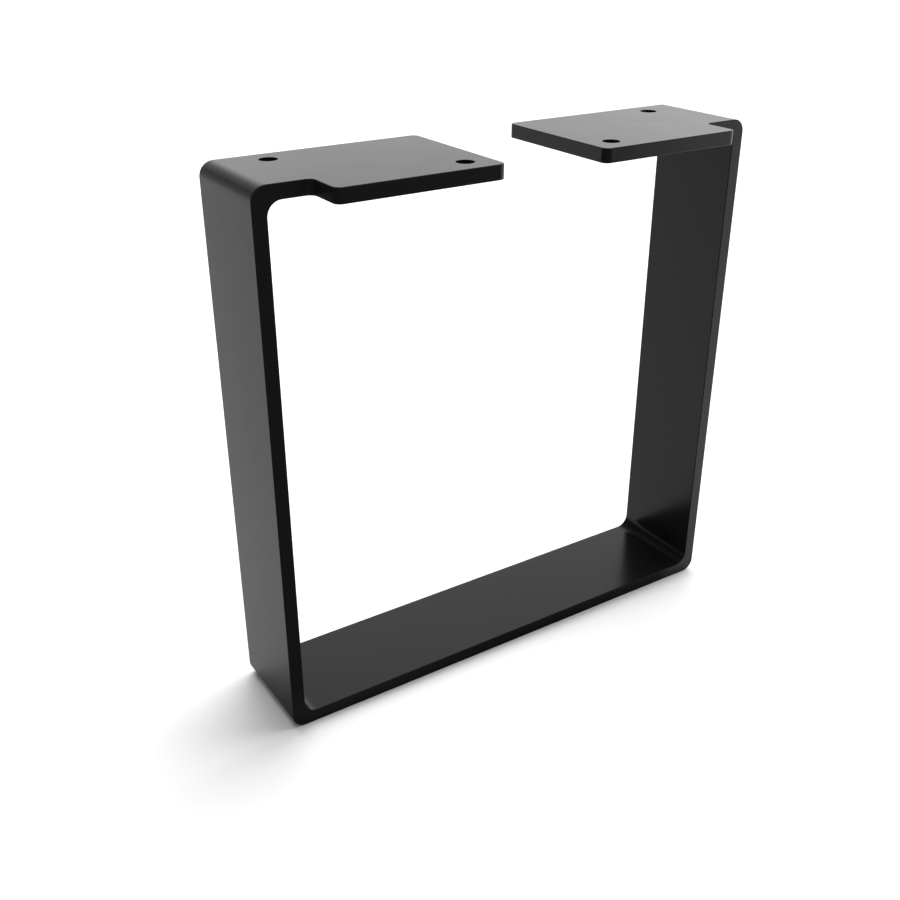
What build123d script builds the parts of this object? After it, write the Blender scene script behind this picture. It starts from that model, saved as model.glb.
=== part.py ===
# A leg for a low table or bench: one flat steel bar bent into an open loop. The bar lies flat on
# the floor as the foot, turns up into two uprights, and turns in again as two plates that are
# screwed under the top. Each plate widens forward of the bar and has two plain screw holes.

from build123d import *
import os

os.makedirs("parts", exist_ok=True)

# Sizes in millimetres. X runs across the loop, Y from its front to its back, and Z up.
# The origin is the middle of the foot's underside, on the floor.

# The flat bar, and the loop that it is bent into
bar_width = 80  # front to back
bar_thickness = 10
loop_width = 400  # over the outer faces of the two uprights
loop_height = 400  # from the floor to the top of the plates
inner_bend = 10  # radius inside each bend
outer_bend = 10  # radius outside each bend

# The two plates at the top
plate_length = 160  # from an upright's outer face to the plate's free end
step_place = 40  # from the same outer face to the step in the plate's front edge
step_depth = 30  # how far the wide part of a plate stands forward of the bar
corner_round = 5  # every corner of a plate, seen from above

# The screw holes, one near the bend and one near the free end of each plate
hole_diameter = 12.5
bend_hole_inset = 40  # from the upright's outer face
bend_hole_margin = 18  # from the plate's back edge
end_hole_inset = 19.5  # from the plate's free end
end_hole_margin = 18  # from the plate's front edge

edge_round = 0.5  # the bar's rolled edges, softened by the coating

# Places that follow from those sizes
outer_face = loop_width / 2
free_end = outer_face - plate_length
step_x = outer_face - step_place
back_edge = bar_width / 2
bar_front = -bar_width / 2
plate_front = bar_front - step_depth

plate_top = Plane.XY.offset(loop_height)
hole_places = [
    (outer_face - bend_hole_inset, back_edge - bend_hole_margin),
    (free_end + end_hole_inset, plate_front + end_hole_margin),
]

with BuildPart() as leg:
    # The bent bar seen from the front, open at the top between the plates' free ends
    with BuildSketch(Plane.XZ) as loop:
        with Locations((0, loop_height / 2)):
            RectangleRounded(loop_width, loop_height, outer_bend)
            RectangleRounded(
                loop_width - 2 * bar_thickness,
                loop_height - 2 * bar_thickness,
                inner_bend,
                mode=Mode.SUBTRACT,
            )
        with Locations((0, loop_height)):
            Rectangle(2 * free_end, 2 * bar_thickness, mode=Mode.SUBTRACT)
    extrude(amount=bar_width / 2, both=True)

    # The wide part of each plate, from its step to its free end
    with BuildSketch(plate_top) as wide_parts:
        with Locations((free_end, bar_front)):
            Rectangle(step_x - free_end, step_depth, align=(Align.MIN, Align.MAX))
        mirror(about=Plane.YZ)
    extrude(amount=-bar_thickness)

    # The plates' upright edges are the shortest ones: four corners on each plate
    plate_corners = leg.edges().filter_by(Axis.Z).group_by(SortBy.LENGTH)[0]
    fillet(plate_corners, corner_round)

    # A flat face runs smoothly into a bend or a rounded corner along a straight line.
    # Every other edge is a sharp one, and takes the small round.
    smooth_lines = leg.faces().filter_by(GeomType.CYLINDER).edges().filter_by(GeomType.LINE)
    sharp_edges = leg.edges().filter_by(lambda edge: edge not in smooth_lines)
    fillet(sharp_edges, edge_round)

    # The screw holes are drilled last, so their rims stay plain, and go through the plates only
    with Locations(plate_top):
        for x, y in hole_places:
            with Locations((x, y), (-x, y)):
                Hole(hole_diameter / 2, depth=bar_thickness)

leg.part.label = "leg"
export_step(leg.part, "parts/leg.step")
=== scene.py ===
import math

import bpy
from mathutils import Matrix, Vector

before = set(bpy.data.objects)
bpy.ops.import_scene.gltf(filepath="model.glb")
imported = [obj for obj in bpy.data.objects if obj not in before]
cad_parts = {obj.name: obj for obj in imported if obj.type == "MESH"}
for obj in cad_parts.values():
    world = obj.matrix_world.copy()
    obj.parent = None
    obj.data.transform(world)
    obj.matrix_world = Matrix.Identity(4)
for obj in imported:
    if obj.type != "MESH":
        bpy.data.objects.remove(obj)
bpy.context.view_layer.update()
mm = 0.001  # sizes below are in millimetres where it says so, and Blender works in metres
smooth = {"interpolation_type": "SMOOTHSTEP"}  # makes a Map Range node's fade a soft one


def srgb(text):
    values = [int(text[i:i + 2], 16) / 255 for i in (0, 2, 4)]
    linear = [v / 12.92 if v <= 0.04045 else ((v + 0.055) / 1.055) ** 2.4 for v in values]
    return (*linear, 1.0)


def addNode(tree, kind, settings=None, inputs=None, links=None):
    node = tree.nodes.new(kind)
    for name, value in (settings or {}).items():
        setattr(node, name, value)
    for name, value in (inputs or {}).items():
        node.inputs[name].default_value = value
    for name, socket in (links or {}).items():
        tree.links.new(socket, node.inputs[name])
    return node


def newMaterial(name):
    material = bpy.data.materials.new(name)
    material.use_nodes = True
    material.node_tree.nodes.clear()
    return material, material.node_tree


# A unit vector that points away from the leg: azimuth 0 is its front, 90 its right and 180 its back
def pointing(azimuth, elevation):
    a, e = math.radians(azimuth), math.radians(elevation)
    return Vector((math.sin(a) * math.cos(e), -math.cos(a) * math.cos(e), math.sin(e)))


# The turn of a camera or a lamp that stands in that direction and looks back at the leg
def facing(azimuth, elevation):
    return pointing(azimuth, elevation).to_track_quat("Z", "Y").to_matrix().to_4x4()


def sinOf(degrees):
    return math.sin(math.radians(degrees))


def cosOf(degrees):
    return math.cos(math.radians(degrees))


# The camera stands at the front left, above the leg, and looks down through the loop
viewpoint = {
    "place": (-441.1, -623.7, 546.9),  # mm
    "azimuth": -32.92,  # degrees, as every azimuth and elevation is
    "elevation": 26.94,
    "lens": 43.41,  # mm
    "sensor": 36.0,
    "farthest": 50,  # m
}


def makeCamera():
    s = viewpoint
    data = bpy.data.cameras.new("camera")
    data.sensor_width = s["sensor"]
    data.lens = s["lens"]
    data.clip_end = s["farthest"]
    camera = bpy.data.objects.new("camera", data)
    bpy.context.collection.objects.link(camera)
    stand = Matrix.Translation(Vector(s["place"]) * mm)
    camera.matrix_world = stand @ facing(s["azimuth"], s["elevation"])
    bpy.context.scene.camera = camera
    print("camera placed")


# Polyester powder, sprayed dry on the steel and baked. It gives an even satin black that is nearly
# dull seen square on, and turns to a soft grey sheen where a face is seen at a low angle.
powderCoat = {
    "colour": "1a1a1b",
    "ior": 1.36,  # the resin is near 1.5, and its matting agent takes the shine down to this
    "roughness": 0.22,
    "roughnessSwing": 0.012,  # a little more and less satin from place to place
    "satinPatch": 30,  # mm
    "noiseLow": 0.3,  # nearly all of the patches' noise lies between these two
    "noiseHigh": 0.7,
    "peelWave": 2.0,  # mm from one low wave of the baked powder to the next
    "peelDepth": 0.02,  # mm
}


def powderCoatedSteel():
    s = powderCoat
    material, tree = newMaterial("black satin powder coat on steel")
    place = addNode(tree, "ShaderNodeTexCoord").outputs["Object"]
    patches = addNode(tree, "ShaderNodeTexNoise", inputs={
        "Scale": 1 / (s["satinPatch"] * mm), "Detail": 3,
    }, links={"Vector": place})
    satin = addNode(tree, "ShaderNodeMapRange", inputs={
        "From Min": s["noiseLow"], "From Max": s["noiseHigh"],
        "To Min": s["roughness"] - s["roughnessSwing"],
        "To Max": s["roughness"] + s["roughnessSwing"],
    }, links={"Value": patches.outputs["Fac"]})
    peel = addNode(tree, "ShaderNodeTexNoise", inputs={
        "Scale": 1 / (s["peelWave"] * mm), "Detail": 1,
    }, links={"Vector": place})
    waves = addNode(tree, "ShaderNodeBump", inputs={
        "Strength": 1.0, "Distance": s["peelDepth"] * mm,
    }, links={"Height": peel.outputs["Fac"]})
    shader = addNode(tree, "ShaderNodeBsdfPrincipled", inputs={
        "Base Color": srgb(s["colour"]),
        "IOR": s["ior"],
    }, links={"Roughness": satin.outputs["Result"], "Normal": waves.outputs["Normal"]})
    addNode(tree, "ShaderNodeOutputMaterial", links={"Surface": shader.outputs["BSDF"]})
    return material


# The bent bar keeps its own mesh from model.glb, which has every bend, round and hole
def coatLeg():
    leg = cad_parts["leg"]
    leg.data.materials.clear()
    leg.data.materials.append(powderCoatedSteel())
    print("leg coated")


# The studio is lit from the back right and falls dark towards the front left, and on the floor
# that light and dark is painted into its colour as the coat mirrors it. The black coat shows nothing
# else, so its reflections of the floor and the backdrop are what shapes each face.
lightSide = pointing(156, 0)
paintedShadeSeenTwice = 0.1  # painted shade: the studio's level in the coat's mirror image of its own coat, as in a bend or a step


# The camera sees the studio white, and the coat mirrors its light and dark parts, which on the floor
# are painted into its colour, while the light that it sheds on things is even. Of a Mix node's
# sockets, 0 is the factor, and 2 and 3 are the levels that it goes between.
def levelForRays(tree, evenLevel, mirroredLevel, toCamera):
    rays = addNode(tree, "ShaderNodeLightPath")
    # Past a depth of 1, the coat has been met more than once on the way to the studio, and there the
    # studio is painted dark as painted shade
    twice = addNode(tree, "ShaderNodeMath", {"operation": "GREATER_THAN"}, {1: 1},
                    {0: rays.outputs["Glossy Depth"]})
    mirroredOrPaintedShade = addNode(tree, "ShaderNodeMix", {"data_type": "FLOAT"}, {3: paintedShadeSeenTwice},
                     {0: twice.outputs["Value"], 2: mirroredLevel})
    indirect = addNode(tree, "ShaderNodeMix", {"data_type": "FLOAT"}, {2: evenLevel},
                       {0: rays.outputs["Is Glossy Ray"], 3: mirroredOrPaintedShade.outputs[0]})
    direct = addNode(tree, "ShaderNodeMath", {"operation": "MAXIMUM"},
                     links={0: rays.outputs["Is Camera Ray"], 1: rays.outputs["Is Transmission Ray"]})
    level = addNode(tree, "ShaderNodeMix", {"data_type": "FLOAT"}, {3: toCamera},
                    {0: direct.outputs["Value"], 2: indirect.outputs[0]})
    return level.outputs[0]


# Levels are brightness, where 1 is white
studioFloor = {
    "reach": 8.0,  # m
    "colour": "f3f3f3",
    "toCamera": 1.33,  # over 1, so that the lit floor comes out as white as the backdrop
    "fadeCentre": (150, -20, 0),  # mm, the painted light and painted dark parts of the floor fan out from here
    "darkBelow": -0.6,  # cosines of the angle from the light side
    "lightAbove": -0.28,
    # Painted light and shade: these levels are painted into the floor's colour, seen only in the
    # coat's reflections
    "darkLevel": 0.05,
    "paintedLightLevel": 0.75,
    "paintedRightLevel": 1.3,  # painted lighter, as the floor right of the leg lies nearest to the softbox
    "rightStart": 100,  # mm across, where the painted lightening of the floor starts, and where it ends
    "rightEnd": 400,
    "backRight": 135,  # degrees, the way along which the next four distances are measured
    "farDark": -380,  # mm, the painted light part has faded to painted dark this far off, at the front left
    "farLight": -100,
    "footStart": -80,  # mm, the painted dark part starts to get less dark, towards the foot's right end
    "footEnd": 110,
    "paintedFootLevel": 0.3,
}


def makeFloor():
    s = studioFloor
    material, tree = newMaterial("white painted studio floor")
    place = addNode(tree, "ShaderNodeTexCoord").outputs["Object"]
    across = addNode(tree, "ShaderNodeSeparateXYZ", links={"Vector": place})
    # Painted light and shade: the floor's colour for mirrored rays is lighter to the right and back,
    # dark to the front left
    lit = addNode(tree, "ShaderNodeMapRange", smooth, {
        "From Min": s["rightStart"] * mm, "From Max": s["rightEnd"] * mm,
        "To Min": s["paintedLightLevel"], "To Max": s["paintedRightLevel"],
    }, {"Value": across.outputs["X"]})
    along = addNode(tree, "ShaderNodeVectorMath", {"operation": "DOT_PRODUCT"},
                    {1: pointing(s["backRight"], 0)}, {0: place})
    paintedLightPart = addNode(tree, "ShaderNodeMapRange", smooth, {
        "From Min": s["farDark"] * mm, "From Max": s["farLight"] * mm, "To Min": s["darkLevel"],
    }, {"Value": along.outputs["Value"], "To Max": lit.outputs["Result"]})
    paintedDarkPart = addNode(tree, "ShaderNodeMapRange", smooth, {
        "From Min": s["footStart"] * mm, "From Max": s["footEnd"] * mm,
        "To Min": s["darkLevel"], "To Max": s["paintedFootLevel"],
    }, {"Value": along.outputs["Value"]})
    apart = addNode(tree, "ShaderNodeVectorMath", {"operation": "SUBTRACT"},
                    {1: Vector(s["fadeCentre"]) * mm}, {0: place})
    direction = addNode(tree, "ShaderNodeVectorMath", {"operation": "NORMALIZE"},
                        links={0: apart.outputs["Vector"]})
    towardsLight = addNode(tree, "ShaderNodeVectorMath", {"operation": "DOT_PRODUCT"},
                           {1: lightSide}, {0: direction.outputs["Vector"]})
    mirrored = addNode(tree, "ShaderNodeMapRange", smooth, {
        "From Min": s["darkBelow"], "From Max": s["lightAbove"],
    }, {"Value": towardsLight.outputs["Value"], "To Min": paintedDarkPart.outputs["Result"],
        "To Max": paintedLightPart.outputs["Result"]})
    paint = srgb(s["colour"])[0]
    level = levelForRays(tree, paint, mirrored.outputs["Result"], s["toCamera"])
    grey = addNode(tree, "ShaderNodeCombineColor", links={i: level for i in range(3)})
    shader = addNode(tree, "ShaderNodeBsdfDiffuse", links={"Color": grey.outputs["Color"]})
    addNode(tree, "ShaderNodeOutputMaterial", links={"Surface": shader.outputs["BSDF"]})
    r = s["reach"]
    mesh = bpy.data.meshes.new("floor")
    mesh.from_pydata([(-r, -r, 0), (r, -r, 0), (r, r, 0), (-r, r, 0)], [], [(0, 1, 2, 3)])
    floor = bpy.data.objects.new("floor", mesh)
    floor.data.materials.append(material)
    bpy.context.collection.objects.link(floor)
    print("floor laid")


# Angles are in degrees, but for the cosines
studioBackdrop = {
    "toCamera": 1.0,
    "roomLevel": 0.22,  # soft light from all round, which fills the shadows
    "darkLevel": 0.05,
    "softboxAzimuth": 130,
    "softboxElevation": 14,
    # each angle from the softbox's middle, and the level there
    "softboxFade": [(0, 1.38), (5, 1.3), (11, 1.13), (17, 1.06), (25, 1.08), (33, 1.18),
                    (47, 0.66), (61, 0.42), (76, 0.05)],
    "softboxTopEdge": (44, 52),  # elevations where its upper edge begins and ends
    "wallLevel": 0.48,  # the lit wall behind the leg, brightest where it meets the floor
    "wallTop": 32,
    "wallEnds": (0.25, 0.62),  # cosines of the angle from the light side
    "fillLevel": 0.9,  # a weaker light in front, which the plates mirror when seen from behind
    "fillAzimuth": 5,
    "fillElevation": 28,
    "fillFade": (12, 52),
}


def makeBackdrop():
    s = studioBackdrop
    world = bpy.data.worlds.new("studio backdrop")
    bpy.context.scene.world = world
    world.use_nodes = True
    tree = world.node_tree
    tree.nodes.clear()
    way = addNode(tree, "ShaderNodeTexCoord").outputs["Generated"]
    height = addNode(tree, "ShaderNodeSeparateXYZ", links={"Vector": way})

    nearBox = addNode(tree, "ShaderNodeVectorMath", {"operation": "DOT_PRODUCT"},
                      {1: pointing(s["softboxAzimuth"], s["softboxElevation"])}, {0: way})
    offBox = addNode(tree, "ShaderNodeMath", {"operation": "ARCCOSINE"},
                     links={0: nearBox.outputs["Value"]})
    halfTurns = addNode(tree, "ShaderNodeMath", {"operation": "DIVIDE"}, {1: math.pi},
                        {0: offBox.outputs["Value"]})
    fade = addNode(tree, "ShaderNodeValToRGB", links={"Fac": halfTurns.outputs["Value"]})
    brightest = max(level for degrees, level in s["softboxFade"])
    stops = fade.color_ramp.elements
    halfTurn = 180  # the ramp's whole length, in degrees
    for i, (degrees, level) in enumerate(s["softboxFade"]):
        stop = stops[i] if i < len(stops) else stops.new(degrees / halfTurn)
        stop.position = degrees / halfTurn
        stop.color = (*[level / brightest] * 3, 1)
    glow = addNode(tree, "ShaderNodeMath", {"operation": "MULTIPLY"}, {1: brightest},
                   {0: fade.outputs["Color"]})
    topStart, topEnd = s["softboxTopEdge"]
    belowTop = addNode(tree, "ShaderNodeMapRange", smooth, {
        "From Min": sinOf(topStart), "From Max": sinOf(topEnd), "To Min": 1.0, "To Max": 0.0,
    }, {"Value": height.outputs["Z"]})
    softbox = addNode(tree, "ShaderNodeMix", {"data_type": "FLOAT"}, {2: s["darkLevel"]},
                      {0: belowTop.outputs["Result"], 3: glow.outputs["Value"]})

    rise = addNode(tree, "ShaderNodeMapRange", smooth, {
        "From Min": 0.0, "From Max": sinOf(s["wallTop"]),
        "To Min": s["wallLevel"], "To Max": s["darkLevel"],
    }, {"Value": height.outputs["Z"]})
    towardsLight = addNode(tree, "ShaderNodeVectorMath", {"operation": "DOT_PRODUCT"},
                           {1: lightSide}, {0: way})
    wallDark, wallLight = s["wallEnds"]
    onWall = addNode(tree, "ShaderNodeMapRange", smooth, {
        "From Min": wallDark, "From Max": wallLight,
    }, {"Value": towardsLight.outputs["Value"]})
    wall = addNode(tree, "ShaderNodeMix", {"data_type": "FLOAT"}, {2: s["darkLevel"]},
                   {0: onWall.outputs["Result"], 3: rise.outputs["Result"]})

    nearFill = addNode(tree, "ShaderNodeVectorMath", {"operation": "DOT_PRODUCT"},
                       {1: pointing(s["fillAzimuth"], s["fillElevation"])}, {0: way})
    fillInner, fillOuter = s["fillFade"]
    fill = addNode(tree, "ShaderNodeMapRange", smooth, {
        "From Min": cosOf(fillOuter), "From Max": cosOf(fillInner),
        "To Min": s["darkLevel"], "To Max": s["fillLevel"],
    }, {"Value": nearFill.outputs["Value"]})

    behind = addNode(tree, "ShaderNodeMath", {"operation": "MAXIMUM"},
                     links={0: softbox.outputs[0], 1: wall.outputs[0]})
    allRound = addNode(tree, "ShaderNodeMath", {"operation": "MAXIMUM"},
                       links={0: behind.outputs["Value"], 1: fill.outputs["Result"]})
    level = levelForRays(tree, s["roomLevel"], allRound.outputs["Value"], s["toCamera"])
    light = addNode(tree, "ShaderNodeBackground", inputs={"Color": (1, 1, 1, 1)},
                    links={"Strength": level})
    addNode(tree, "ShaderNodeOutputWorld", links={"Surface": light.outputs["Background"]})
    print("backdrop hung")


# One broad lamp above the back right gives the floor its short soft shadow. The coat mirrors the
# softbox in the backdrop instead of this lamp.
overheadLamp = {
    "azimuth": 130,
    "elevation": 45,
    "spread": 90,  # degrees
    "level": 3.55,
}


def makeLamp():
    s = overheadLamp
    data = bpy.data.lights.new("overhead diffuser", "SUN")
    data.energy = s["level"]
    data.angle = math.radians(s["spread"])
    lamp = bpy.data.objects.new("overhead diffuser", data)
    lamp.matrix_world = facing(s["azimuth"], s["elevation"])
    lamp.visible_glossy = False
    bpy.context.collection.objects.link(lamp)
    print("lamp hung")


makeCamera()
coatLeg()
makeFloor()
makeBackdrop()
makeLamp()
bpy.context.scene.view_settings.view_transform = "Standard"
